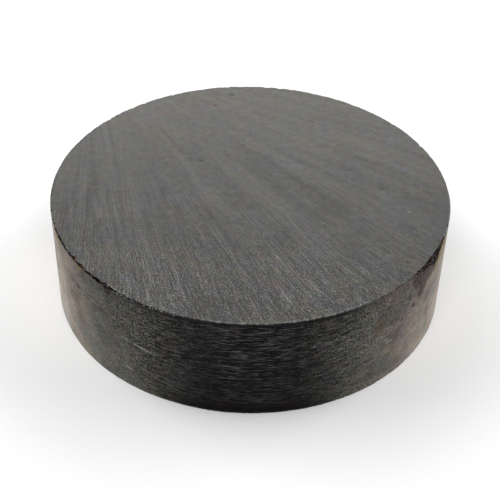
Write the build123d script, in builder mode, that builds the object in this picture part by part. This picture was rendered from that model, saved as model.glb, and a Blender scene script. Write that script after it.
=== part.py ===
from build123d import *
import math
import os

# Disc magnet: one flat disc of hard ferrite, pressed, sintered and ground
# flat on both faces. It is a single solid with no hole, coating or shell.
# Frame: +Z is the disc's own axis, and the origin is the centre of the
# bottom face, so the disc stands on z = 0. All lengths are in millimetres.

# ---------------------------------------------------------------- dimensions
disc_d = 35.0  # outside diameter
disc_t = 10.0  # thickness, ground face to ground face
edge_break = 0.12  # radius of the worn break on both rims

disc_r = disc_d / 2

# Chips on the upper rim. Each one is a shallow shell-shaped flake, as a
# brittle ceramic loses: (angle from +X in degrees, half its length along
# the rim, how far it reaches in over the face, how far down the wall).
chips = [
    # the ragged run at the left of the near side
    (-155.0, 0.85, 0.14, 0.15),
    (-147.6, 0.44, 0.14, 0.14),
    (-144.4, 0.34, 0.26, 0.10),
    (-140.8, 0.62, 0.16, 0.20),
    (-136.2, 0.60, 0.12, 0.20),
    (-133.4, 0.66, 0.13, 0.27),
    (-130.6, 0.62, 0.18, 0.36),
    (-128.8, 0.44, 0.15, 0.28),
    (-125.8, 0.62, 0.12, 0.22),
    (-122.4, 0.46, 0.15, 0.16),
    (-118.0, 0.55, 0.13, 0.13),
    (-113.6, 0.48, 0.12, 0.13),
    (-104.6, 0.50, 0.24, 0.11),
    # the broken zone at the right of the near side
    (-46.4, 0.70, 0.12, 0.18),
    (-40.8, 0.62, 0.12, 0.22),
    (-37.4, 0.80, 0.12, 0.42),
    (-34.6, 1.00, 0.13, 0.62),
    (-31.8, 1.00, 0.15, 0.78),
    (-29.2, 1.05, 0.13, 0.72),
    (-26.4, 0.95, 0.14, 0.60),
    (-23.8, 0.70, 0.12, 0.40),
    (-22.0, 0.42, 0.12, 0.20),
    # small nicks on the far side
    (2.6, 0.45, 0.13, 0.13),
    (25.6, 0.34, 0.20, 0.18),
    (55.4, 0.55, 0.13, 0.15),
    (69.8, 0.52, 0.13, 0.15),
    (81.2, 0.34, 0.17, 0.14),
    (85.4, 0.52, 0.14, 0.18),
    (131.8, 0.50, 0.13, 0.14),
    (141.6, 0.42, 0.14, 0.13),
    (183.4, 0.50, 0.13, 0.13),
]


def chip_ball(angle, half_length, reach_in, reach_down):
    """Centre and radius of the ball whose surface is one chip.

    In the plane through the axis at the chip's angle, the ball passes
    through a point on the upper face, reach_in inside the rim, and a point
    on the wall, reach_down below that face. Along the rim it runs out
    half_length to each side.
    """
    chord = math.hypot(reach_in, reach_down)
    corner_depth = reach_in * reach_down / chord
    out = half_length**2 / (2 * corner_depth)
    r = disc_r - reach_in / 2 + out * reach_down / chord
    z = disc_t - reach_down / 2 + out * reach_in / chord
    a = math.radians(angle)
    return (r * math.cos(a), r * math.sin(a), z), math.hypot(out, chord / 2)


# ------------------------------------------------------------------ the disc
bulge = edge_break * (1 - math.sin(math.pi / 4))

with BuildPart() as disc_magnet:
    # half of the section, turned about the axis; both corners carry the
    # small radius that ground edges wear to
    with BuildSketch(Plane.XZ) as section:
        with BuildLine() as outline:
            Line((0, 0), (disc_r - edge_break, 0))
            ThreePointArc(
                (disc_r - edge_break, 0),
                (disc_r - bulge, bulge),
                (disc_r, edge_break),
            )
            Line((disc_r, edge_break), (disc_r, disc_t - edge_break))
            ThreePointArc(
                (disc_r, disc_t - edge_break),
                (disc_r - bulge, disc_t - bulge),
                (disc_r - edge_break, disc_t),
            )
            Line((disc_r - edge_break, disc_t), (0, disc_t))
            Line((0, disc_t), (0, 0))
        make_face()
    revolve(axis=Axis.Z)

    # the chips, each a ball that bites across the upper rim
    for chip in chips:
        centre, radius = chip_ball(*chip)
        with Locations(centre):
            Sphere(radius, mode=Mode.SUBTRACT)

disc_magnet.part.label = "disc_magnet"

# -------------------------------------------------------------------- output
os.makedirs("parts", exist_ok=True)
export_step(disc_magnet.part, "parts/disc_magnet.step")

box = disc_magnet.part.bounding_box()
print("disc magnet", box.size, "volume", round(disc_magnet.part.volume, 1))
print("solids", len(disc_magnet.part.solids()), "faces", len(disc_magnet.part.faces()))
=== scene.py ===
import math

import bpy
import numpy as np
from mathutils import Matrix, Vector, noise
from mathutils.geometry import delaunay_2d_cdt


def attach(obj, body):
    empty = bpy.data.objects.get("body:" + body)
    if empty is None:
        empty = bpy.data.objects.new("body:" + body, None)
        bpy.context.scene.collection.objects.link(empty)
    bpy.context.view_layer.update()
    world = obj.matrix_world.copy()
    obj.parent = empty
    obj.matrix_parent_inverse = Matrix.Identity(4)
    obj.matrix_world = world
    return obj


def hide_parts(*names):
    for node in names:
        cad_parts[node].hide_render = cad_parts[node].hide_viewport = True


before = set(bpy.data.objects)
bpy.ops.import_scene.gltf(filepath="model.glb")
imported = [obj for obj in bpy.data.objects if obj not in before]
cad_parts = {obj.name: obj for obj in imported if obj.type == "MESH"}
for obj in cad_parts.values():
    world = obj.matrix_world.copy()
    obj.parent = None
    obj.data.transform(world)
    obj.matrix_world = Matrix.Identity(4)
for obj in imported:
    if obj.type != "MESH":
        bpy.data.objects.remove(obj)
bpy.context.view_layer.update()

# All shape numbers are in millimetres until the mesh is made.
R = 17.498
T = 10.0
MM = 0.001
rng = np.random.default_rng(3510)

# ------------------------------------------------------------------- chips
# (angle in degrees, half length along the rim, reach in over the face,
# reach down the wall). The first list is the CAD solid's own chips.
chips = [
    (-155.0, 0.85, 0.14, 0.15),
    (-147.6, 0.44, 0.14, 0.14),
    (-144.4, 0.34, 0.26, 0.10),
    (-140.8, 0.62, 0.16, 0.20),
    (-136.2, 0.60, 0.12, 0.20),
    (-133.4, 0.66, 0.13, 0.27),
    (-130.6, 0.62, 0.18, 0.36),
    (-128.8, 0.44, 0.15, 0.28),
    (-125.8, 0.62, 0.12, 0.22),
    (-122.4, 0.46, 0.15, 0.16),
    (-118.0, 0.55, 0.13, 0.13),
    (-113.6, 0.48, 0.12, 0.13),
    (-104.6, 0.50, 0.24, 0.11),
    (-46.4, 0.70, 0.12, 0.18),
    (-40.8, 0.62, 0.12, 0.22),
    (-37.4, 0.80, 0.12, 0.42),
    (-34.6, 1.00, 0.13, 0.62),
    (-31.8, 1.00, 0.15, 0.78),
    (-29.2, 1.05, 0.13, 0.72),
    (-26.4, 0.95, 0.14, 0.60),
    (-23.8, 0.70, 0.12, 0.40),
    (-22.0, 0.42, 0.12, 0.20),
    (2.6, 0.45, 0.13, 0.13),
    (25.6, 0.34, 0.20, 0.18),
    (55.4, 0.55, 0.13, 0.15),
    (69.8, 0.52, 0.13, 0.15),
    (81.2, 0.34, 0.17, 0.14),
    (85.4, 0.52, 0.14, 0.18),
    (131.8, 0.50, 0.13, 0.14),
    (141.6, 0.42, 0.14, 0.13),
    (183.4, 0.50, 0.13, 0.13),
]


def crumbs(count, small, large, crowd):
    """Crumbs too fine for the CAD solid, more of them where crowd says."""
    out = []
    while len(out) < count:
        a = rng.uniform(-180, 180)
        if rng.random() > crowd(a):
            continue
        s = small + (large - small) * rng.random() ** 2.2
        out.append(
            (
                a,
                s * rng.uniform(0.8, 2.1),
                s * rng.uniform(0.7, 1.3),
                s * rng.uniform(0.7, 1.3),
            )
        )
    return out


def near(a, centre, width):
    d = (a - centre + 180) % 360 - 180
    return math.exp(-((d / width) ** 2))


def top_crowd(a):
    return min(
        1.0,
        0.09
        + 0.9 * near(a, -132, 14)
        + 0.6 * near(a, -116, 8)
        + 0.8 * near(a, -33, 9)
        + 0.25 * near(a, 80, 40)
        + 0.15 * near(a, 180, 50),
    )


top_cuts = chips + crumbs(360, 0.045, 0.14, top_crowd)
low_cuts = crumbs(240, 0.05, 0.13, lambda a: 0.6)


def ball(angle, half_length, reach_in, reach_down):
    chord = math.hypot(reach_in, reach_down)
    depth = reach_in * reach_down / chord
    out = half_length**2 / (2 * depth)
    r = R - reach_in / 2 + out * reach_down / chord
    z = T - reach_down / 2 + out * reach_in / chord
    a = math.radians(angle)
    return np.array([r * math.cos(a), r * math.sin(a), z]), math.hypot(out, chord / 2)


# ---------------------------------------------------------- the rim surfaces
def fbm(points, size, octaves=3, shift=0.0):
    """Smooth noise of about -1 to 1 at each point; size is its grain in mm."""
    out = np.empty(len(points))
    for i, p in enumerate(points):
        out[i] = noise.fractal(
            Vector((p[0] / size + shift, p[1] / size, p[2] / size)), 0.8, 2.0, octaves
        )
    return out


def rim_rings(count, offsets, cuts, wear_low, wear_high, seed):
    """Rings of points over one rim, from the face round to the wall.

    Made for the upper rim. Every point starts on the sharp-cornered disc
    and slides in along a line to a point well inside the corner, until it
    meets the worn round of the edge or the nearest chip.
    """
    prof = [(R - o, T) for o in reversed(offsets[1:])]
    prof += [(R, T - o) for o in offsets]
    prof = np.array(prof)
    angles = np.arange(count) * 2 * math.pi / count - math.pi
    c, s = np.cos(angles), np.sin(angles)
    wear_noise = fbm(
        np.stack([c * R, s * R, np.full(count, seed * 7.3)], 1), 1.7, 4, seed
    )
    wear = wear_low + (wear_high - wear_low) * np.clip(0.5 + 0.8 * wear_noise, 0, 1)

    anchor = np.array([R - 1.6, T - 1.6])
    away = prof - anchor
    t_flat = np.hypot(away[:, 0], away[:, 1])
    direction = away / t_flat[:, None]
    n_prof = len(prof)

    # the worn round of the edge
    t = np.repeat(t_flat[None, :], count, 0)
    for k in range(n_prof):
        d = direction[k]
        ox, oz = anchor[0] - (R - wear), anchor[1] - (T - wear)
        b = d[0] * ox + d[1] * oz
        disc = b * b - (ox * ox + oz * oz - wear * wear)
        ok = disc > 0
        hit = -b + np.sqrt(np.where(ok, disc, 0))
        hx, hz = ox + hit * d[0], oz + hit * d[1]
        ok &= (hx > 0) & (hz > 0)
        t[:, k] = np.where(ok, np.minimum(t[:, k], hit), t[:, k])
    t_worn = t.copy()

    origin = np.stack([anchor[0] * c, anchor[0] * s, np.full(count, anchor[1])], 1)
    heading = np.empty((count, n_prof, 3))
    heading[:, :, 0] = c[:, None] * direction[None, :, 0]
    heading[:, :, 1] = s[:, None] * direction[None, :, 0]
    heading[:, :, 2] = direction[None, :, 1]

    # every chip, its broken surface a little uneven
    rough = {}
    for chip in cuts:
        centre, radius = ball(*chip)
        half = math.degrees((chip[1] * 1.25 + 0.12) / R)
        delta = (np.degrees(angles) - chip[0] + 180) % 360 - 180
        cols = np.nonzero(np.abs(delta) < half)[0]
        if not len(cols):
            continue
        o = origin[cols][:, None, :] - centre
        d = heading[cols]
        b = (o * d).sum(-1)
        disc = b * b - ((o * o).sum(-1) - radius * radius)
        hit = np.where(disc > 0, -b - np.sqrt(np.maximum(disc, 0)), 99.0)
        size = max(chip[2], chip[3])
        close = hit < t_worn[cols] + 0.10
        if not close.any():
            continue
        spots = origin[cols][:, None, :] + d * hit[..., None]
        bumps = np.zeros(hit.shape)
        flat = spots[close]
        bumps[close] = fbm(flat, 0.16, 3, chip[0]) * 0.6 + fbm(
            flat, 0.5, 2, chip[0] + 9
        )
        hit = hit + bumps * min(0.055, 0.11 * size)
        t[cols] = np.minimum(t[cols], hit)

    t = np.maximum(t, 0.9)
    points = origin[:, None, :] + heading * t[..., None]
    depth = t_worn - t
    corner = np.abs(np.arange(n_prof) - (len(offsets) - 1))
    edge = np.exp(-((np.array([offsets[i] for i in corner]) / 0.10) ** 2))
    side = np.array(
        [
            0.0 if k < len(offsets) - 1 else (0.5 if k == len(offsets) - 1 else 1.0)
            for k in range(n_prof)
        ]
    )
    return angles, points, depth, edge, side, prof


# ------------------------------------------------------------ pits in faces
# (x, y, radius, depth) on the upper face
face_pits = [
    (-2.1, 15.7, 0.26, 0.05),
    (-3.7, 13.6, 0.20, 0.04),
    (-14.4, -9.4, 0.13, 0.04),
    (-13.7, -8.1, 0.09, 0.03),
    (-15.6, -4.4, 0.20, 0.03),
    (7.6, -9.9, 0.20, 0.03),
    (5.4, -12.2, 0.14, 0.04),
    (8.9, 3.2, 0.16, 0.03),
    (-4.6, 4.0, 0.20, 0.03),
    (-5.8, 5.1, 0.15, 0.03),
    (11.4, -8.6, 0.12, 0.04),
    (12.9, -9.8, 0.14, 0.05),
    (14.3, -7.4, 0.12, 0.04),
    (15.4, -6.4, 0.09, 0.03),
    (15.8, -7.0, 0.11, 0.04),
    (14.4, -9.1, 0.10, 0.03),
    (-9.4, -12.7, 0.12, 0.04),
    (-6.1, -14.2, 0.10, 0.03),
]
# (angle in degrees, height, radius, depth) on the wall
wall_pits = [
    (-143.1, 7.25, 0.10, 0.03),
    (-128.0, 6.7, 0.07, 0.03),
    (-112.0, 3.05, 0.08, 0.03),
    (-103.2, 2.05, 0.07, 0.03),
    (-57.5, 8.95, 0.07, 0.03),
    (-55.2, 8.7, 0.08, 0.03),
    (-59.4, 8.6, 0.06, 0.02),
    (-41.2, 7.8, 0.09, 0.03),
    (-38.8, 6.5, 0.08, 0.03),
    (-36.6, 8.4, 0.09, 0.03),
]


def scatter(count, test):
    out = []
    while len(out) < count:
        p = test()
        if p is not None:
            out.append(p)
    return out


def loose_pit(keep):
    def make():
        r = (R - 1.6) * math.sqrt(rng.random())
        a = rng.uniform(-math.pi, math.pi)
        x, y = r * math.cos(a), r * math.sin(a)
        if any(math.hypot(x - p[0], y - p[1]) < 1.0 for p in keep):
            return None
        q = 0.045 + 0.04 * rng.random() ** 2
        return (x, y, q, q * 0.25)

    return make


face_pits += scatter(40, loose_pit(face_pits))
under_pits = scatter(60, loose_pit([]))


def loose_wall_pit():
    a = rng.uniform(-179, 179)
    z = rng.uniform(1.0, T - 1.5)
    if any(
        math.hypot(math.radians(a - p[0]) * R, z - p[1]) < 0.9 for p in wall_pits
    ):
        return None
    q = 0.045 + 0.035 * rng.random() ** 2
    return (a, z, q, q * 0.3)


wall_pits += scatter(40, loose_wall_pit)

PIT_RINGS = [(0.0, 1), (0.45, 7), (0.8, 10), (1.05, 12), (1.4, 12)]


def pit_points(u, v, radius):
    out = []
    for share, n in PIT_RINGS:
        turn = rng.uniform(0, 6.28)
        for i in range(n):
            a = turn + i * 2 * math.pi / n
            wob = 1 + 0.16 * math.sin(2 * a + turn) * (share < 1.2)
            out.append(
                (
                    u + radius * share * wob * math.cos(a),
                    v + radius * share * wob * math.sin(a),
                )
            )
    return out


def pit_depth(u, v, pits):
    d = np.zeros(len(u))
    for pu, pv, q, deep in pits:
        x = np.hypot(u - pu, v - pv) / (q * 1.1)
        d = np.maximum(d, deep * np.clip(1 - x**2, 0, 1) ** 0.7 * (x < 1))
    return d


# ------------------------------------------------------------- mesh building
verts, faces = [], []
tags = {"chip": [], "pit": [], "edge": [], "side": [], "shade_and_grime": []}
uvs = {}  # (face index, corner) is not needed: one place per vertex and part


def add(points, chip, pit, edge, side, shade_and_grime=0.0):
    start = len(verts)
    verts.extend(map(tuple, points))
    n = len(points)
    for name, value in (
        ("chip", chip),
        ("pit", pit),
        ("edge", edge),
        ("side", side),
        ("shade_and_grime", shade_and_grime),
    ):
        tags[name].extend(np.broadcast_to(np.asarray(value, float), (n,)).tolist())
    return np.arange(start, start + n)


offs_top = [0, 0.022, 0.048, 0.078, 0.112, 0.15, 0.195, 0.245, 0.30, 0.365, 0.44, 0.53, 0.64, 0.78, 0.95]
offs_low = [0, 0.03, 0.065, 0.11, 0.17, 0.26, 0.40]
N_TOP, N_LOW = 1800, 900

ang_t, top, top_depth, top_edge, top_side, _ = rim_rings(
    N_TOP, offs_top, top_cuts, 0.035, 0.12, 1
)
ang_l, low, low_depth, low_edge, low_side, _ = rim_rings(
    N_LOW, offs_low, low_cuts, 0.06, 0.15, 2
)
low = low * np.array([1, 1, -1]) + np.array([0, 0, T])


def ring_block(points, depth, edge, side, shade_and_grime=None, dark=1.0):
    ids = []
    for k in range(points.shape[1]):
        d = np.clip(depth[:, k] / 0.02, 0, 1) * dark
        g = 0.0 if shade_and_grime is None else shade_and_grime[:, k]
        ids.append(add(points[:, k], d, 0.0, edge[k], side[k], g))
    return ids


def shade_and_grime_reach(angles):
    """How far down the wall and in over the face the dark edge reaches.

    It is one ragged dark line at the left of the near side and a broader
    band at its right, with traces of it elsewhere: partly dirt, partly painted shade under the edge.
    """
    deg = np.degrees(angles)
    at = np.stack([np.cos(angles) * R, np.sin(angles) * R, np.zeros(len(angles))], 1)
    ragged = np.clip(fbm(at, 0.55, 4, 11.0), -1, 1.3)
    slow = np.clip(fbm(at, 2.2, 2, 23.0), -1, 1)

    def bell(centre, width):
        d = (deg - centre + 180) % 360 - 180
        return np.exp(-((d / width) ** 2))

    def between(a, b, soft):
        return 1 / (1 + np.exp(-(deg - a) / soft)) / (1 + np.exp((deg - b) / soft))

    left = between(-160, -127.5, 1.0)
    right = between(-38, -21.5, 1.0)
    down = (
        left * (0.195 + 0.030 * slow + 0.10 * bell(-131, 3.5) + 0.04 * bell(-142, 2.0))
        + right * (0.36 + 1.05 * bell(-27.8, 3.6) + 0.12 * slow)
        + between(-127, -100, 2) * (0.03 + 0.10 * np.abs(ragged))
        + between(-60, -38, 3) * (0.05 + 0.05 * slow)
        + 0.05 * bell(3, 3)
        + 0.05 * bell(-177, 4)
        + 0.01
    )
    down = down + ragged * np.minimum(down * (0.24 + 0.26 * right), 0.24)
    inward = (left * 0.045 + right * 0.05) * (1 + 0.8 * ragged)
    return down, inward


def rim_shade_and_grime(angles, offsets):
    """How much of that dark edge each point of the upper rim carries."""
    down, inward = shade_and_grime_reach(angles)
    signed = np.array([-o for o in reversed(offsets[1:])] + list(offsets))
    below = np.clip((down[:, None] - signed[None, :]) / 0.035 + 0.5, 0, 1)
    inside = np.clip((inward[:, None] + signed[None, :]) / 0.025 + 0.5, 0, 1)
    return below * inside * np.clip(down / 0.05, 0, 1)[:, None]




def dent(points, depth, count_face, z_face, outward, pits_on_face, pits_on_wall):
    """Sinks the pits that lie in a rim's own rings, and returns how deep."""
    got = np.zeros(depth.shape)
    whole = depth < 0.004
    for k in range(points.shape[1]):
        p = points[:, k]
        if k < count_face:
            d = pit_depth(p[:, 0], p[:, 1], pits_on_face) * whole[:, k]
            p[:, 2] -= outward * d
        else:
            a = np.arctan2(p[:, 1], p[:, 0])
            s = (a + math.pi) * R
            d = pit_depth(s, p[:, 2], pits_on_wall) * whole[:, k]
            p[:, 0] -= d * np.cos(a)
            p[:, 1] -= d * np.sin(a)
        got[:, k] = d
    return got


wall_flat = [(math.radians(a + 180) * R, z, q, d) for a, z, q, d in wall_pits]
dent(top, top_depth, len(offs_top) - 1, T, 1, face_pits, wall_flat)
dent(low, low_depth, len(offs_low) - 1, 0.0, -1, under_pits, wall_flat)

turned = np.degrees(ang_t)
# the chips are darkened, partly as dark broken ferrite and partly as painted shade in the hollows; fully at the left
# and right of the near side, less in front
chip_shade_share = 1 / (1 + np.exp((turned + 126) / 2)) + 1 / (1 + np.exp(-(turned + 41) / 2))
top_ids = ring_block(
    top,
    top_depth,
    top_edge,
    top_side,
    rim_shade_and_grime(ang_t, offs_top),
    np.clip(chip_shade_share, 0.40, 1.0),
)
low_ids = ring_block(low, low_depth, low_edge, low_side)


def quads(ids, flip):
    for a, b in zip(ids, ids[1:]):
        n = len(a)
        for i in range(n):
            j = (i + 1) % n
            f = (a[i], b[i], b[j], a[j])
            faces.append(f if not flip else f[::-1])


quads(top_ids, False)
quads(low_ids, True)


def fill(boundary_loops, loop_ids, inner, lift, up, seam=None):
    """Triangles over a flat region between closed loops, in its own plane.

    boundary_loops holds each loop's points in the plane, and inner the free
    points. lift turns plane points to space, with tags. up, the sign of the
    wanted turning, is not used.
    """
    flat, ids, edges = [], [], []
    for loop, lid, closed in boundary_loops:
        base = len(flat)
        flat.extend(loop)
        ids.extend(lid)
        n = len(loop)
        edges += [(base + i, base + i + 1) for i in range(n - 1)]
        if closed:
            edges.append((base + n - 1, base))
    inner_base = len(flat)
    flat.extend(inner)
    points, tag = lift(np.array(inner))
    new = add(points, 0.0, tag, 0.0, loop_ids)
    ids.extend(new.tolist())
    out = delaunay_2d_cdt(
        [Vector((float(x), float(y))) for x, y in flat], edges, [], 1, 1e-7, True
    )
    _, _, tris, v_from, _, _ = out
    source = [src[0] for src in v_from]
    return [tuple(ids[source[i]] for i in t) for t in tris], out[0], source, tris


def spaced_disc(radius, start):
    """Rings of points that fill a disc, close at its edge and open inside."""
    out = []
    r, gap = radius, start
    k = 0
    while True:
        gap = min(1.25, gap * 1.42)
        r -= gap
        if r < 0.6:
            break
        n = max(6, int(2 * math.pi * r / gap))
        turn = 0.5 * k
        out += [
            (r * math.cos(2 * math.pi * (i + turn) / n), r * math.sin(2 * math.pi * (i + turn) / n))
            for i in range(n)
        ]
        k += 1
    out.append((0.0, 0.0))
    return out


def face_fill(rim, ring_id, z, pits, outward):
    loop = [(p[0], p[1]) for p in rim]
    spacing = 2 * math.pi * R / len(rim)
    edge_r = float(np.hypot(rim[0][0], rim[0][1]))
    inner = spaced_disc(edge_r, spacing)
    whole = [q for q in pits if math.hypot(q[0], q[1]) + 1.8 * q[2] < edge_r - 0.05]
    inner = [
        p
        for p in inner
        if all(math.hypot(p[0] - q[0], p[1] - q[1]) > q[2] * 1.9 for q in whole)
    ]
    for q in whole:
        inner += pit_points(q[0], q[1], q[2])
    inner = np.array(inner)

    def lift(p):
        d = pit_depth(p[:, 0], p[:, 1], pits)
        return (
            np.stack([p[:, 0], p[:, 1], z - outward * d], 1),
            np.clip(d / 0.03, 0, 1),
        )

    tris, places, source, raw = fill(
        [(loop, ring_id.tolist(), True)], 0.0, inner.tolist(), lift, outward
    )
    for t, rt in zip(tris, raw):
        a, b, c = (places[i] for i in rt)
        area = (b[0] - a[0]) * (c[1] - a[1]) - (c[0] - a[0]) * (b[1] - a[1])
        if abs(area) < 1e-9 or len(set(t)) < 3:
            continue
        faces.append(t if area * outward > 0 else t[::-1])


face_fill(top[:, 0], top_ids[0], T, face_pits, 1)
face_fill(low[:, 0], low_ids[0], 0.0, under_pits, -1)


def wall_fill():
    up, down = top_ids[-1], low_ids[-1]
    z_up, z_down = T - offs_top[-1], offs_low[-1]
    turn = 2 * math.pi * R
    s_up = (ang_t + math.pi) * R
    s_down = (ang_l + math.pi) * R
    # the seam is one column of points, used at both ends of the strip
    gaps = [0.12, 0.30, 0.6]
    seam_z = [z_up - g for g in gaps]
    while seam_z[-1] > z_down + 1.4:
        seam_z.append(seam_z[-1] - 0.75)
    seam_z += [z_down + 0.45, z_down + 0.18]
    seam_z = sorted(set(seam_z), reverse=True)
    seam_pts = np.array([[-R, 0.0, z] for z in seam_z])
    seam_ids = add(seam_pts, 0.0, 0.0, 0.0, 1.0).tolist()
    loop = [(s, z_up) for s in s_up] + [(turn, z_up)]
    ids = up.tolist() + [int(up[0])]
    loop += [(turn, z) for z in seam_z]
    ids += seam_ids
    loop += [(turn, z_down)] + [(s, z_down) for s in s_down[::-1]]
    ids += [int(down[0])] + down[::-1].tolist()
    loop += [(0.0, z) for z in reversed(seam_z)]
    ids += list(reversed(seam_ids))
    pits = wall_flat
    whole = [q for q in pits if z_down + 0.05 < q[1] - 1.8 * q[2] and q[1] + 1.8 * q[2] < z_up - 0.05]
    inner = []
    rows = [
        (z_up - 0.05, 0.07),
        (z_up - 0.13, 0.12),
        (z_up - 0.27, 0.2),
        (z_up - 0.5, 0.34),
    ]
    z = z_up - 0.85
    while z > z_down + 0.9:
        rows.append((z, 0.5))
        z -= 0.48
    rows += [(z_down + 0.55, 0.34), (z_down + 0.26, 0.2), (z_down + 0.09, 0.12)]
    for k, (z, gap) in enumerate(rows):
        n = int(turn / gap)
        inner += [(turn * (i + 0.25 + 0.5 * (k % 2)) / n, z) for i in range(n)]
    # closer points where the dark band runs down over the wall
    fine_s = [(math.pi + math.radians(a)) * R for a in (-38.0, -20.0)]
    inner = [p for p in inner if not (fine_s[0] < p[0] < fine_s[1] and p[1] > 8.25)]
    columns = int((fine_s[1] - fine_s[0]) / 0.10)
    for k in range(8):
        inner += [
            (fine_s[0] + 0.05 + 0.10 * (i + 0.5 * (k % 2)), z_up - 0.07 - 0.09 * k)
            for i in range(columns)
        ]
    inner = [
        p
        for p in inner
        if all(
            math.hypot(p[0] - q[0], p[1] - q[1]) > q[2] * 1.9
            for q in whole
            if abs(p[1] - q[1]) < 0.6
        )
    ]
    for q in whole:
        inner += pit_points(q[0], q[1], q[2])

    def lift(p):
        d = pit_depth(p[:, 0], p[:, 1], pits)
        a = p[:, 0] / R - math.pi
        r = R - d
        return (
            np.stack([r * np.cos(a), r * np.sin(a), p[:, 1]], 1),
            np.clip(d / 0.03, 0, 1),
        )

    tris, places, source, raw = fill([(loop, ids, True)], 1.0, inner, lift, 1)
    for t, rt in zip(tris, raw):
        a, b, c = (places[i] for i in rt)
        area = (b[0] - a[0]) * (c[1] - a[1]) - (c[0] - a[0]) * (b[1] - a[1])
        if abs(area) < 1e-9 or len(set(t)) < 3:
            continue
        faces.append(t if area > 0 else t[::-1])


wall_fill()

points = np.array(verts)
bearing = np.arctan2(points[:, 1], points[:, 0])
low_edge = T - points[:, 2]
# the dark edge, partly dirt and partly painted shade, runs further down the wall near -29 degrees
under_rim = (low_edge > offs_top[-1] + 0.01) & (low_edge < 2.2)
under_rim &= np.abs(np.degrees(bearing) + 29.0) < 10.0
reach_down = shade_and_grime_reach(bearing[under_rim])[0]
edge_dark = np.array(tags["shade_and_grime"])
edge_dark[under_rim] = np.clip((reach_down - low_edge[under_rim]) / 0.08 + 0.5, 0, 1)
tags["shade_and_grime"] = edge_dark.tolist()
mesh = bpy.data.meshes.new("disc_magnet_body")
mesh.from_pydata((points * MM).tolist(), [], [tuple(int(i) for i in f) for f in faces])
mesh.validate(verbose=False)
for name, values in tags.items():
    layer = mesh.attributes.new(name, "FLOAT", "POINT")
    layer.data.foreach_set("value", np.array(values, dtype=np.float32))
disc = bpy.data.objects.new("disc_magnet_body", mesh)
bpy.context.scene.collection.objects.link(disc)
mesh.polygons.foreach_set("use_smooth", [True] * len(mesh.polygons))
mesh.set_sharp_from_angle(angle=math.radians(38))
mesh.update()

# ------------------------------------------------------------------ the map
# One place for each corner: the two faces as discs, and the wall as strips.
loops = np.empty(len(mesh.loops), dtype=np.int64)
mesh.loops.foreach_get("vertex_index", loops)
sizes = np.empty(len(mesh.polygons), dtype=np.int64)
mesh.polygons.foreach_get("loop_total", sizes)
owner = np.repeat(np.arange(len(sizes)), sizes)
side_v = np.array(tags["side"])
side_f = np.bincount(owner, side_v[loops]) / sizes
high_f = np.bincount(owner, points[loops][:, 2]) / sizes > T / 2
x, y, z = points[loops].T
on_wall = (side_f > 0.5)[owner]
on_top = (~on_wall) & high_f[owner]
theta = np.arctan2(y, x)
mid = np.bincount(owner, np.cos(theta)), np.bincount(owner, np.sin(theta))
mid_theta = np.arctan2(mid[1], mid[0])
theta = mid_theta[owner] + (theta - mid_theta[owner] + np.pi) % (2 * np.pi) - np.pi
STRIPS = 3
strip = np.clip(np.floor((mid_theta + np.pi) / (2 * np.pi) * STRIPS), 0, STRIPS - 1)
width = 2 * math.pi * R / STRIPS
SIDE = 2 * (2 * R + 1.0)
u = np.where(
    on_wall,
    (theta + np.pi) * R - strip[owner] * width,
    np.where(on_top, x + R, y + R),
)
v = np.where(on_wall, z, np.where(on_top, y + R, x + R))
shift_u = np.where(
    on_wall,
    np.array([0.6, width + 2.2, 0.6])[strip[owner].astype(int)],
    np.where(on_top, 0.5, 2 * R + 1.5),
)
shift_v = np.where(
    on_wall,
    np.array([2 * R + 2.0, 2 * R + 2.0, 2 * R + 14.0])[strip[owner].astype(int)],
    0.5,
)
SPAN = 2 * width + 3.4
uv = np.stack([(u + shift_u) / SPAN, (v + shift_v) / SPAN], 1)
layer = mesh.uv_layers.new(name="OFBake")
layer.data.foreach_set("uv", uv.astype(np.float32).ravel())

print("mesh", len(mesh.vertices), "vertices", sum(int(n) - 2 for n in sizes), "triangles")


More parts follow.
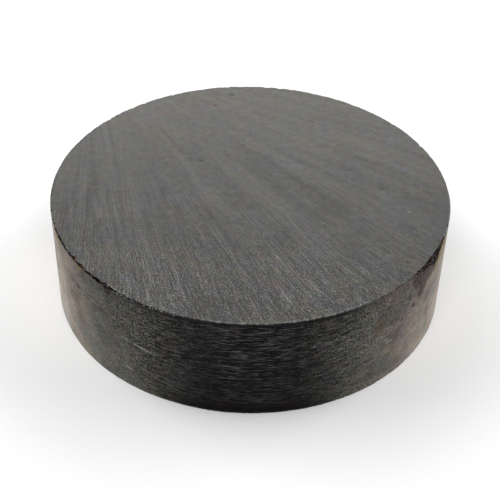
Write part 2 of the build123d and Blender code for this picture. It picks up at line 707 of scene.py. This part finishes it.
# --------------------------------------------------------------- node helper
class Net:
    """Adds shader nodes in order, and links whatever is not a plain number."""

    def __init__(self, tree):
        self.tree = tree

    def put(self, kind, inputs=None, **settings):
        node = self.tree.nodes.new(kind)
        for key, value in settings.items():
            setattr(node, key, value)
        for key, value in (inputs or {}).items():
            socket = node.inputs[key]
            if isinstance(value, bpy.types.NodeSocket):
                self.tree.links.new(value, socket)
            else:
                socket.default_value = value
        return node

    def math(self, op, a, b=0.0, c=0.0, clamp=False):
        node = self.put("ShaderNodeMath", {0: a, 1: b, 2: c}, operation=op)
        node.use_clamp = clamp
        return node.outputs[0]

    def vec(self, op, a, b=(0, 0, 0)):
        node = self.put("ShaderNodeVectorMath", {0: a, 1: b}, operation=op)
        return node.outputs["Value" if op in ("LENGTH", "DISTANCE", "DOT_PRODUCT") else "Vector"]

    def scale(self, a, factor):
        node = self.put("ShaderNodeVectorMath", {0: a, "Scale": factor}, operation="SCALE")
        return node.outputs["Vector"]

    def join(self, x, y, z=0.0):
        return self.put("ShaderNodeCombineXYZ", {0: x, 1: y, 2: z}).outputs[0]

    def split(self, a):
        return self.put("ShaderNodeSeparateXYZ", {0: a}).outputs

    def noise(self, at, scale=1.0, detail=2.0, rough=0.5, distortion=0.0):
        node = self.put(
            "ShaderNodeTexNoise",
            {"Vector": at, "Scale": scale, "Detail": detail, "Roughness": rough, "Distortion": distortion},
        )
        return node.outputs["Fac"]

    def cells(self, at, scale=1.0, feature="F1", out="Distance", random=1.0):
        node = self.put("ShaderNodeTexVoronoi", {"Vector": at, "Scale": scale, "Randomness": random}, feature=feature)
        return node.outputs[out]

    def ramp(self, value, low, high, out_low=0.0, out_high=1.0, smooth=True):
        node = self.put(
            "ShaderNodeMapRange",
            {"Value": value, "From Min": low, "From Max": high, "To Min": out_low, "To Max": out_high},
        )
        node.interpolation_type = "SMOOTHSTEP" if smooth else "LINEAR"
        return node.outputs["Result"]

    def mix(self, factor, a, b, blend="MIX"):
        node = self.put("ShaderNodeMix", data_type="RGBA", blend_type=blend)
        for key, value in ((0, factor), (6, a), (7, b)):
            socket = node.inputs[key]
            if isinstance(value, bpy.types.NodeSocket):
                self.tree.links.new(value, socket)
            else:
                socket.default_value = value
        return node.outputs[2]

    def attribute(self, name):
        return self.put("ShaderNodeAttribute", attribute_name=name).outputs["Fac"]


def grey(v, warm=1.0):
    return (v * (1 + 0.02 * warm), v, v * (1 - 0.08 * warm), 1.0)


# ------------------------------------------------------------- the materials
# The ground faces and the as-fired wall are two finishes of one ferrite. Both
# are built by the same function, so the chips and the worn edge run through.
FAN = (-16.8, 23.1)  # the scores of the upper face fan out from here, in mm
SCORES = [
    # (x, y, x, y, width, strength) of scratches that stand out by themselves
    (-4.0, -4.3, -1.2, -10.2, 0.10, 0.9),
    (-0.9, -2.8, 1.2, -7.1, 0.09, 0.8),
    (4.6, -1.2, 6.2, -2.8, 0.08, 0.8),
    (2.8, -3.1, 5.9, -9.2, 0.10, 0.9),
    (5.5, -4.0, 8.3, -6.5, 0.08, 0.8),
    (7.7, -11.1, 9.9, -14.2, 0.10, 0.9),
    (-1.2, -14.2, -0.3, -16.3, 0.08, 1.0),
    (-10.2, -2.8, -9.2, -4.9, 0.08, 0.7),
    (-7.4, -8.0, -6.6, -11.4, 0.08, 0.6),
    (0.6, -11.0, 2.0, -15.4, 0.09, 0.8),
    (3.6, -12.0, 5.4, -15.8, 0.07, 0.7),
]
GROOVES = [
    (-3.6, -6.4, -2.0, -11.8, 0.10, 0.8),
    (3.6, -4.2, 6.6, -9.4, 0.09, 0.9),
    (-8.6, -4.0, -7.4, -9.6, 0.10, 0.6),
    (6.4, -5.6, 10.4, -10.8, 0.09, 0.7),
    (-11.6, 3.0, -10.6, -3.0, 0.12, 0.5),
    (0.4, -5.4, 2.2, -9.8, 0.08, 0.6),
]


def spot(net, mm, places, soft=0.4):
    """A mask of round spots: each place is (x, y, z, radius) in mm."""
    total = None
    for x, y, z, radius in places:
        far = net.vec("DISTANCE", mm, (x, y, z))
        here = net.ramp(far, radius * (1 + soft), radius * (1 - soft))
        total = here if total is None else net.math("MAXIMUM", total, here)
    return total


def on_wall_at(angle, z, radius):
    a = math.radians(angle)
    return (R * math.cos(a), R * math.sin(a), z, radius)


def finish(name, kind):
    """One finish of the ferrite as a material: kind is face, wall or broken."""
    material = bpy.data.materials.new(name)
    material.use_nodes = True
    material.node_tree.nodes.clear()
    net = Net(material.node_tree)
    mm = net.scale(net.put("ShaderNodeTexCoord").outputs["Object"], 1000.0)
    X, Y, Z = net.split(mm)[0:3]
    chip, pit, edge, shade_and_grime = (net.attribute(n) for n in ("chip", "pit", "edge", "shade_and_grime"))

    def times(value, amount):
        return net.math("MULTIPLY", value, amount)

    def centred(value, amount):
        return times(net.math("SUBTRACT", value, 0.5), amount)

    def total(*parts):
        out = parts[0]
        for p in parts[1:]:
            out = net.math("ADD", out, p)
        return out

    def stretched(x, y, z, detail=0.0, rough=0.6):
        return net.noise(net.vec("MULTIPLY", mm, (x, y, z)), 1.0, detail, rough)

    def tinted(colour, mask, tone):
        return net.mix(mask, colour, tone)

    grain = net.noise(mm, 5.2, 1.0, 0.7)
    tiny = net.noise(mm, 10.0, 0.0)
    turn = times(net.math("ARCTAN2", Y, X), R)
    out_from = net.math("SQRT", net.math("ADD", net.math("MULTIPLY", X, X), net.math("MULTIPLY", Y, Y)))
    patches = net.noise(net.scale(mm, 0.16), 1.0, 3.0, 0.55)

    if kind == "face":
        # polar places about the fan's point: swing across the scores and
        # reach along them, both close to millimetres on the face
        dx = net.math("SUBTRACT", X, FAN[0])
        dy = net.math("SUBTRACT", Y, FAN[1])
        reach = net.math("SQRT", net.math("ADD", net.math("MULTIPLY", dx, dx), net.math("MULTIPLY", dy, dy)))
        swing = times(net.math("ARCTAN2", dy, dx), 34.0)
        wander = net.noise(net.scale(mm, 0.10), 1.0, 1.0)
        swing = net.math("ADD", swing, times(wander, 0.9))

        def score(across, along, detail, shift, rough=0.6):
            at = net.join(
                times(swing, across),
                times(reach, along),
                net.math("ADD", times(Z, 3.0), shift),
            )
            return net.noise(at, 1.0, detail, rough)

        fine = score(7.2, 0.32, 1.0, 0.0)
        medium = score(2.1, 0.09, 1.0, 31.0)
        broad = score(0.85, 0.045, 1.0, 57.0)
        wide = score(0.30, 0.03, 1.0, 44.0)
        dashes = score(7.5, 1.6, 1.0, 71.0)
        bright = net.ramp(score(6.0, 0.20, 0.0, 83.0), 0.64, 0.76)
        dark = net.ramp(score(6.4, 0.18, 0.0, 97.0), 0.64, 0.76)

        def lines(places):
            out = None
            for x0, y0, x1, y1, width, strength in places:
                cx, cy = (x0 + x1) / 2, (y0 + y1) / 2
                long = math.hypot(x1 - x0, y1 - y0)
                ux, uy = (x1 - x0) / long, (y1 - y0) / long
                away = net.vec("SUBTRACT", mm, (cx, cy, T))
                across = net.math("ABSOLUTE", net.vec("DOT_PRODUCT", away, (-uy, ux, 0)))
                along = net.math("ABSOLUTE", net.vec("DOT_PRODUCT", away, (ux, uy, 0)))
                here = net.math(
                    "MULTIPLY",
                    net.ramp(across, width * 0.62, width * 0.1, 0.0, strength),
                    net.ramp(along, long * 0.5, long * 0.25),
                )
                out = here if out is None else net.math("MAXIMUM", out, here)
            return net.math("MULTIPLY", out, net.ramp(Z, T - 0.5, T - 0.3))

        bright_lines, dark_lines = lines(SCORES), lines(GROOVES)

        # the grain stands out most on the near side, the lay in the middle
        near = net.ramp(net.math("ADD", times(X, 0.10), Y), 8.0, -16.0, 0.0, 1.0)
        close = net.math("POWER", near, 4.0)
        patchy = net.ramp(net.noise(net.scale(mm, 0.13), 1.0, 1.0), 0.35, 0.65, 0.55, 1.2)
        lay = times(net.ramp(near, 0.0, 0.6, 0.26, 1.05), patchy)
        lay = net.math("MULTIPLY", lay, net.ramp(X, 9.0, 14.0, 1.0, 0.40))
        speck = net.cells(mm, 1.7)
        speck_on = net.put(
            "ShaderNodeSeparateColor", {0: net.cells(mm, 1.7, out="Color")}
        ).outputs[0]
        specks = net.math("MULTIPLY", net.ramp(speck, 0.30, 0.12), net.ramp(speck_on, 0.62, 0.70))
        tone = total(
            times(total(centred(grain, 2.6), centred(tiny, 7.2)), net.ramp(close, 0.0, 1.0, 0.16, 1.0, False)),
            times(total(centred(dashes, 3.6), centred(fine, 3.2)), net.ramp(close, 0.0, 1.0, 0.06, 1.0, False)),
            times(total(centred(fine, 0.75), centred(medium, 0.75), times(bright, 0.50), times(dark, -0.40)), lay),
            times(bright_lines, 1.0),
            times(dark_lines, -0.55),
            times(centred(broad, 0.95), net.ramp(Y, 14.0, 2.0, 0.55, 1.0)),
            centred(wide, 0.45),
            centred(patches, 0.50),
            centred(net.noise(mm, 1.5, 1.0), 0.75),
            centred(net.noise(mm, 3.2, 1.0), 0.55),
            # painted light: the face grows lighter towards the far side and darker at the near edge
            times(Y, 0.0065),
            -0.035,
            times(net.ramp(Y, -9.0, -17.0), -0.09),
            # painted light: a little lighter towards both sides and at the far left, where the face catches more
            # light
            net.math("MULTIPLY", net.ramp(net.math("ABSOLUTE", X), 8.0, 15.5), net.ramp(Y, -6.0, 2.0, 0.0, 0.11)),
            net.math("MULTIPLY", net.ramp(X, -3.0, -10.0), net.ramp(Y, 5.0, 11.0, 0.0, 0.13)),
            times(spot(net, mm, [(9.0, -12.3, T, 2.6)], 0.8), -0.16),
            times(spot(net, mm, [(-2.6, -15.9, T, 1.9)], 0.8), -0.24),
            times(specks, -0.20),
        )
        base = FACE_GREY
        high = total(
            times(total(centred(fine, 0.8), centred(medium, 0.5), centred(dashes, 0.6)), lay),
            centred(grain, 0.7),
        )
        rough = total(0.46, centred(medium, 0.25), centred(grain, 0.2))
        floor_level = 0.25
    else:
        # the wall keeps short marks that run round it, strongest in front
        # and high up, and fades to soft mottling towards both sides
        wide_x = net.math("ABSOLUTE", X)
        marks = stretched(0.7, 0.7, 6.2)
        hairs = stretched(1.5, 1.5, 10.8)
        threads = stretched(0.6, 0.6, 9.2)
        bands = stretched(0.20, 0.20, 1.3, 2.0)
        blots = stretched(0.40, 0.40, 0.55, 3.0, 0.55)
        soft = net.noise(mm, 1.3, 2.0, 0.55)
        light = net.ramp(stretched(1.0, 1.0, 10.5), 0.60, 0.72)
        deep = net.ramp(stretched(1.1, 1.1, 8.0), 0.58, 0.66)
        strong = net.math(
            "MULTIPLY",
            net.math("MULTIPLY", net.ramp(wide_x, 1.0, 5.0, 1.25, 0.50), net.ramp(wide_x, 6.0, 11.0, 1.0, 0.16)),
            net.ramp(Z, 1.5, 8.0, 0.55, 1.15),
        )
        fizz = net.math(
            "MULTIPLY",
            net.ramp(wide_x, 8.0, 14.5, 1.0, 0.26),
            net.ramp(Z, 1.5, 8.0, 0.45, 1.0),
        )
        tone = total(
            times(
                total(centred(marks, 2.0), centred(hairs, 6.0), centred(threads, 4.0), times(light, 2.8), times(deep, -1.4)),
                strong,
            ),
            times(total(centred(tiny, 5.0), centred(grain, 1.8)), fizz),
            times(centred(bands, 1.0), net.ramp(wide_x, 6.0, 13.0, 1.0, 0.15)),
            centred(blots, 0.9),
            centred(soft, 0.8),
            centred(grain, 0.6),
            # painted shade: in front the wall is darker below its top band and a little lighter near the top
            net.math("MULTIPLY", net.ramp(Z, 7.4, 8.8, -0.22, 0.06), net.ramp(wide_x, 10.0, 4.0)),
            times(spot(net, mm, [on_wall_at(-56.0, 6.4, 1.7), on_wall_at(-65.0, 6.2, 1.4)], 0.8), 0.26),
        )
        base = WALL_GREY
        high = total(centred(marks, 1.0), centred(hairs, 1.2), centred(grain, 0.5))
        rough = total(0.47, centred(marks, 0.4), centred(grain, 0.3))
        floor_level = 0.10

    level = net.math("MAXIMUM", net.math("ADD", 1.0, tone), floor_level)
    plain = grey(base) if kind == "face" else (base * 1.02, base * 0.965, base * 1.02, 1.0)
    colour = net.mix(1.0, plain, net.join(level, level, level), "MULTIPLY")

    if kind == "wall":
        # painted reflection and shade: the wall is dark in front and lighter towards both sides, where it is seen at
        # a grazing angle; pinkish brown and ochre stains lie there too
        sides = net.ramp(wide_x, 2.6, 13.8)
        outer = net.ramp(wide_x, 12.0, 16.5)
        cloud = net.ramp(stretched(0.42, 0.42, 0.50, 3.0, 0.6), 0.40, 0.60)
        pink = net.math("MAXIMUM", net.ramp(X, -12.4, -14.6), net.ramp(X, 8.6, 12.0))
        pink = net.math("MULTIPLY", pink, cloud)
        # painted reflection: at the sides the wall grows lighter towards its foot
        lower = net.math("MULTIPLY", level, net.ramp(Z, 0.8, 9.6, 1.36, 0.72, False))
        # painted reflection: the outermost strips are the lightest, the left one most of all
        lower = net.math("MULTIPLY", lower, net.ramp(X, -15.1, -16.6, 1.0, 1.34))
        lower = net.math("MULTIPLY", lower, net.ramp(X, 15.9, 16.8, 1.0, 1.10))
        shade = net.join(lower, lower, lower)
        olive = net.mix(outer, (0.092, 0.090, 0.077, 1.0), (0.200, 0.188, 0.158, 1.0))
        stain_and_reflection = net.mix(outer, (0.130, 0.108, 0.094, 1.0), (0.255, 0.212, 0.178, 1.0))
        colour = tinted(colour, sides, net.mix(1.0, olive, shade, "MULTIPLY"))
        colour = tinted(colour, pink, net.mix(1.0, stain_and_reflection, shade, "MULTIPLY"))
        # the far half is plain, in one even tone that the sides run into
        even = total(
            1.0,
            centred(bands, 0.35),
            centred(blots, 0.45),
            centred(soft, 0.35),
            centred(hairs, 0.8),
            centred(grain, 0.5),
        )
        colour = tinted(
            colour,
            net.ramp(Y, 0.0, 9.0),
            net.mix(1.0, (0.062, 0.060, 0.054, 1.0), net.join(even, even, even), "MULTIPLY"),
        )
        blobs = spot(
            net,
            mm,
            [
                on_wall_at(-35.4, 7.25, 0.45),
                on_wall_at(-34.6, 7.8, 0.60),
                on_wall_at(-34.4, 8.7, 0.95),
                on_wall_at(-31.4, 8.9, 0.95),
                on_wall_at(-28.8, 8.85, 0.75),
                on_wall_at(-26.4, 9.1, 0.50),
                on_wall_at(-38.6, 9.2, 0.60),
                on_wall_at(-37.7, 8.6, 0.45),
                on_wall_at(-41.4, 7.8, 0.22),
                on_wall_at(-38.8, 6.5, 0.22),
                on_wall_at(-143.1, 7.25, 0.20),
                on_wall_at(-129.6, 9.45, 0.35),
            ],
            0.55,
        )
        blobs = net.math("MINIMUM", times(blobs, 1.6), 1.0)
        blobs = net.math("MULTIPLY", blobs, net.ramp(net.noise(net.vec("MULTIPLY", mm, (1.0, 1.0, 2.4)), 2.4, 2.0, 0.7), 0.38, 0.54, 0.66, 1.0))
        speckled = net.mix(net.ramp(net.noise(mm, 4.2, 1.0, 0.6), 0.42, 0.60), (0.011, 0.0055, 0.0075, 1.0), (0.046, 0.023, 0.024, 1.0))
        colour = tinted(colour, blobs, speckled)
        ochre = spot(
            net,
            mm,
            [
                on_wall_at(-159.0, 9.45, 0.40),
                on_wall_at(-156.5, 9.55, 0.34),
                on_wall_at(-154.0, 9.60, 0.28),
                on_wall_at(-141.5, 9.55, 0.22),
                on_wall_at(-26.8, 7.95, 0.38),
                on_wall_at(-25.2, 8.35, 0.50),
                on_wall_at(-23.8, 8.80, 0.52),
                on_wall_at(-22.6, 9.15, 0.54),
                on_wall_at(-21.4, 9.35, 0.52),
                on_wall_at(-19.6, 9.35, 0.60),
                on_wall_at(-17.6, 9.10, 0.70),
            ],
            0.8,
        )
        colour = tinted(colour, net.math("MULTIPLY", ochre, net.ramp(net.noise(mm, 2.6, 2.0, 0.7), 0.36, 0.56, 0.74, 1.0)), (0.148, 0.096, 0.005, 1.0))
        browns = spot(
            net,
            mm,
            [
                on_wall_at(-145.5, 5.6, 0.9),
                on_wall_at(-143.5, 3.8, 0.9),
                on_wall_at(-147.0, 7.6, 0.6),
                on_wall_at(-30.5, 6.0, 0.7),
                on_wall_at(-46.0, 4.4, 0.6),
                on_wall_at(-52.0, 6.6, 0.7),
                on_wall_at(-29.0, 3.6, 0.6),
            ],
            0.9,
        )
        colour = tinted(colour, times(browns, 0.55), (0.066, 0.042, 0.032, 1.0))
        # painted shade: darkest just under the near edge, and a painted contact shadow at the foot in front, which is
        # reddish
        brow_shade = net.math("MULTIPLY", net.ramp(Z, 9.35, 9.75), net.ramp(wide_x, 12.5, 7.0))
        brow_shade = net.math("MULTIPLY", brow_shade, net.ramp(Y, -9.0, -12.0, 0.0, 0.8))
        colour = tinted(colour, brow_shade, (0.0022, 0.0020, 0.0024, 1.0))
        foot_shadow = net.math("MULTIPLY", net.ramp(Z, 1.9, 0.3), net.ramp(wide_x, 8.5, 3.0))
        foot_shadow = net.math("MULTIPLY", foot_shadow, net.ramp(Y, -8.0, -13.0, 0.2, 0.97))
        colour = tinted(colour, foot_shadow, (0.0030, 0.0012, 0.0012, 1.0))
        # short scratches, thin as a hair, with painted glints on them
        flat = net.vec("MULTIPLY", mm, (1.0, 1.0, 9.0))
        glints = spot(
            net,
            flat,
            [
                (x, y, 9.0 * z, r)
                for x, y, z, r in (
                    on_wall_at(-124.6, 5.30, 0.30),
                    on_wall_at(-121.0, 5.13, 0.34),
                    on_wall_at(-119.2, 5.05, 0.40),
                    on_wall_at(-117.0, 4.95, 0.36),
                    on_wall_at(-123.7, 2.05, 0.42),
                    on_wall_at(-124.6, 2.20, 0.30),
                    on_wall_at(-47.9, 4.25, 0.36),
                    on_wall_at(-49.4, 4.60, 0.22),
                    on_wall_at(-57.7, 4.65, 0.26),
                    on_wall_at(-72.6, 6.90, 0.22),
                    on_wall_at(-66.4, 7.20, 0.18),
                )
            ],
            0.5,
        )
        glints = net.math("MULTIPLY", glints, net.ramp(tiny, 0.32, 0.58, 0.25, 0.95))
        colour = tinted(colour, glints, (0.42, 0.42, 0.40, 1.0))

    # faint olive and violet mottling
    warm = net.ramp(net.noise(net.scale(mm, 0.55), 1.0, 2.0, 0.6), 0.35, 0.65)
    green = net.ramp(net.noise(mm, 1.7, 1.0, 0.6), 0.35, 0.65)
    mottled = net.mix(1.0, colour, net.mix(warm, (0.955, 0.974, 1.080, 1.0), (1.050, 1.018, 0.88, 1.0)), "MULTIPLY")
    mottled = net.mix(1.0, mottled, net.mix(green, (1.085, 0.937, 1.075, 1.0), (0.935, 1.050, 0.91, 1.0)), "MULTIPLY")
    colour = mottled if kind == "face" else net.mix(0.55, colour, mottled)
    if kind == "face":
        colour = net.mix(net.ramp(Y, -1.0, 14.0, 0.0, 1.0), colour, net.mix(1.0, colour, (1.03, 1.0, 0.955, 1.0), "MULTIPLY"))
        reds = spot(net, mm, [(-3.7, 13.6, T, 0.5), (-5.4, 12.4, T, 0.6), (-1.6, 12.6, T, 0.4), (-15.6, -4.4, T, 0.45), (-8.6, 12.2, T, 0.7), (2.2, -12.8, T, 0.6)], 0.8)
        colour = tinted(colour, times(reds, 0.35), (0.095, 0.052, 0.046, 1.0))
        shades = spot(net, mm, [(-2.1, 15.7, T, 0.30), (7.0, -2.6, T, 1.2), (-14.4, -9.4, T, 0.18), (-4.7, 4.4, T, 0.45), (8.9, 3.2, T, 0.3)], 0.8)
        colour = tinted(colour, times(shades, 0.40), (0.030, 0.028, 0.027, 1.0))
        # painted highlights: two tiny bright glints on the face
        lights = spot(net, mm, [(13.7, -2.9, T, 0.10), (13.2, 8.6, T, 0.10)], 0.6)
        colour = tinted(colour, times(lights, 0.5), (0.22, 0.22, 0.20, 1.0))

    if kind == "broken":
        # fresh break and packed dirt, darkened further as painted shade, streaked along the rim
        across = net.math("ADD", times(Z, 6.0), times(out_from, 6.0))
        streak = net.noise(net.join(times(turn, 1.5), across, 0.0), 1.0, 2.0, 0.6)
        flake = net.put("ShaderNodeSeparateColor", {0: net.cells(net.join(times(turn, 8.0), times(across, 1.5), 0.0), 1.0, out="Color")}).outputs
        band = spot(net, mm, [on_wall_at(-36.0, T, 2.0), on_wall_at(-29.0, T, 2.4)], 0.4)
        dirt_and_shade = net.mix(band, (0.0075, 0.0065, 0.006, 1.0), (0.020, 0.0105, 0.0100, 1.0))
        dirt_and_shade = tinted(dirt_and_shade, spot(net, mm, [on_wall_at(-141.0, T, 0.8)], 0.4), (0.045, 0.023, 0.015, 1.0))
        dirt_and_shade = tinted(dirt_and_shade, spot(net, mm, [on_wall_at(-144.6, T, 0.45)], 0.4), (0.110, 0.058, 0.048, 1.0))
        dirt_and_shade = tinted(dirt_and_shade, net.ramp(streak, 0.50, 0.42), (0.004, 0.0035, 0.0045, 1.0))
        pale = net.math("MULTIPLY", net.ramp(streak, 0.54, 0.62), net.ramp(band, 0.0, 1.0, 0.35, 0.9))
        dirt_and_shade = tinted(dirt_and_shade, pale, (0.080, 0.064, 0.072, 1.0))
        lift = net.ramp(grain, 0.35, 0.7, 0.6, 1.6)
        colour = net.mix(1.0, dirt_and_shade, net.join(lift, lift, lift), "MULTIPLY")
        # painted glints: a few bright cells stand for facets of the break catching light
        colour = tinted(colour, net.ramp(flake[0], 0.94, 0.96), (0.12, 0.11, 0.105, 1.0))
    else:
        # wear and painted highlight: a light line along the worn edge, lightest along the near front
        along = net.noise(net.join(times(turn, 2.2), 0.0, 0.0), 1.0, 2.0, 0.7)
        wear_and_glint = net.math("MULTIPLY", edge, net.ramp(along, 0.42, 0.62, 0.15, 0.75))
        wear_and_glint = net.math("MULTIPLY", wear_and_glint, net.ramp(X, -15.0, -11.5, 0.25, 1.0))
        bare_and_glint = net.math("MULTIPLY", net.ramp(X, -13.0, -9.5), net.ramp(X, 11.5, 8.0))
        bare_and_glint = net.math("MULTIPLY", bare_and_glint, net.ramp(Y, -11.0, -13.0))
        rubbed_and_glint = net.mix(bare_and_glint, (0.17, 0.17, 0.158, 1.0), (0.30, 0.30, 0.285, 1.0))
        colour = tinted(colour, wear_and_glint, rubbed_and_glint)
        # painted shade and painted glints: black and white specks of crumbs along the left of the near edge, the
        # black ones in shadow and the white ones catching light
        crumbly = net.math("MULTIPLY", net.ramp(X, -12.2, -10.8), net.ramp(X, -3.0, -7.5, 0.0, 1.0))
        crumbly = net.math("MULTIPLY", crumbly, net.ramp(Y, -10.0, -12.0))
        crumbly = net.math("MULTIPLY", crumbly, net.math("POWER", edge, 0.35))
        dice = net.put("ShaderNodeSeparateColor", {0: net.cells(mm, 9.5, out="Color")}).outputs
        colour = tinted(colour, net.math("MULTIPLY", crumbly, net.ramp(dice[0], 0.40, 0.36)), (0.006, 0.006, 0.006, 1.0))
        colour = tinted(colour, net.math("MULTIPLY", crumbly, net.ramp(dice[1], 0.80, 0.84)), (0.42, 0.42, 0.40, 1.0))
        # painted shade with dirt: the chips and the dark edge along the rim are darkened almost to black
        colour = tinted(colour, net.math("MAXIMUM", times(chip, 0.8), shade_and_grime), (0.008, 0.007, 0.0065, 1.0))
        # painted shade: pits are darkened by their depth
        colour = tinted(colour, times(pit, 0.45), (0.018, 0.016, 0.014, 1.0))

    bump = net.put("ShaderNodeBump", {"Strength": 0.30, "Distance": 0.00004, "Height": high}).outputs[0]
    shader = net.put("ShaderNodeBsdfPrincipled", {"Base Color": colour, "Normal": bump})
    if kind == "broken":
        shader.inputs["Roughness"].default_value = 0.8
    else:
        net.tree.links.new(rough, shader.inputs["Roughness"])
    shader.inputs["IOR"].default_value = {"face": 1.5, "wall": 1.13, "broken": 1.08}[kind]
    if kind == "wall":
        shader.inputs["Sheen Weight"].default_value = 0.045
        shader.inputs["Sheen Roughness"].default_value = 0.4
        shader.inputs["Sheen Tint"].default_value = (1.0, 0.93, 0.86, 1.0)
    net.put("ShaderNodeOutputMaterial", {"Surface": shader.outputs[0]})
    return material


FACE_GREY, WALL_GREY = 0.056, 0.012
mesh.materials.append(finish("ferrite_ground_face", "face"))
mesh.materials.append(finish("ferrite_wall", "wall"))
mesh.materials.append(finish("ferrite_broken_edge", "broken"))
# faces of the chips and of the dark edge, partly painted shade, take the broken finish
lost = np.maximum(np.array(tags["chip"]), np.array(tags["shade_and_grime"]))[loops]
lost_f = np.bincount(owner, lost) / sizes
part_of = np.where(lost_f > 0.5, 2, np.where(side_f > 0.5, 1, 0))
mesh.polygons.foreach_set("material_index", part_of.astype(np.int32))
mesh.update()

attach(disc, "root")
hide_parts("disc_magnet")

# ------------------------------------------------------------------ the stage
floor_mesh = bpy.data.meshes.new("floor")
floor_mesh.from_pydata([(-2, -2, 0), (2, -2, 0), (2, 2, 0), (-2, 2, 0)], [], [(0, 1, 2, 3)])
floor = bpy.data.objects.new("floor", floor_mesh)
bpy.context.scene.collection.objects.link(floor)
paper = bpy.data.materials.new("paper")
paper.use_nodes = True
paper.node_tree.nodes.clear()
pnet = Net(paper.node_tree)
pbsdf = pnet.put("ShaderNodeBsdfPrincipled", {"Base Color": (0.92, 0.92, 0.92, 1.0), "Roughness": 0.9})
pnet.put("ShaderNodeOutputMaterial", {"Surface": pbsdf.outputs[0]})
floor_mesh.materials.append(paper)


def softbox(name, at, aim, size, watts, colour=(1, 1, 1)):
    data = bpy.data.lights.new(name, "AREA")
    data.shape = "RECTANGLE"
    data.size, data.size_y = size
    data.energy = watts
    data.color = colour
    lamp = bpy.data.objects.new(name, data)
    bpy.context.scene.collection.objects.link(lamp)
    lamp.location = at
    lamp.rotation_euler = (Vector(aim) - Vector(at)).to_track_quat("-Z", "Y").to_euler()
    return lamp


def around(azimuth, elevation, distance):
    """A place seen from the disc: azimuth 0 is +X and 90 is straight behind."""
    a, e = math.radians(azimuth), math.radians(elevation)
    return (
        distance * math.cos(e) * math.cos(a),
        distance * math.cos(e) * math.sin(a),
        distance * math.sin(e),
    )


WIDE = (0.34, 0.24)
softbox("right", around(15, 38, 0.4), (0, 0, 0), WIDE, 0.80)
softbox("left", around(165, 38, 0.4), (0, 0, 0), WIDE, 0.62)
softbox("left_high", around(165, 55, 0.4), (0, 0, 0), WIDE, 0.31)
softbox("left_back", around(140, 38, 0.4), (0, 0, 0), WIDE, 0.21)
softbox("right_back", around(40, 38, 0.4), (0, 0, 0), WIDE, 0.21)
softbox("front", around(-90, 50, 0.42), (0, 0, 0), WIDE, 0.80)
softbox("back", around(90, 25, 0.16), (0, 0, 0), (0.12, 0.08), 0.07)

world = bpy.data.worlds.new("studio")
bpy.context.scene.world = world
world.use_nodes = True
sky = world.node_tree.nodes["Background"]
sky.inputs["Color"].default_value = (1, 1, 1, 1)
sky.inputs["Strength"].default_value = 0.10

# ----------------------------------------------------------------- the camera
EL, ROLL, DIST = 0.682203, 0.0226373, 102.021
ahead = Vector((0, math.cos(EL), -math.sin(EL)))
right = Vector((1, 0, 0))
up = right.cross(ahead)
right2 = right * math.cos(ROLL) + up * math.sin(ROLL)
up2 = up * math.cos(ROLL) - right * math.sin(ROLL)
target = Vector((0.1093, 0, 2.9587))
eye = target - ahead * DIST - right2 * 0.046 + up2 * 0.046
cam_data = bpy.data.cameras.new("camera")
cam_data.lens = 79.637
cam_data.sensor_width = 36.0
cam_data.clip_start = 0.005
cam_data.clip_end = 20.0
cam = bpy.data.objects.new("camera", cam_data)
bpy.context.scene.collection.objects.link(cam)
turn = Matrix((right2, up2, -ahead)).transposed()
cam.matrix_world = Matrix.Translation(eye * MM) @ turn.to_4x4()
bpy.context.scene.camera = cam
bpy.context.scene.view_settings.view_transform = "Standard"
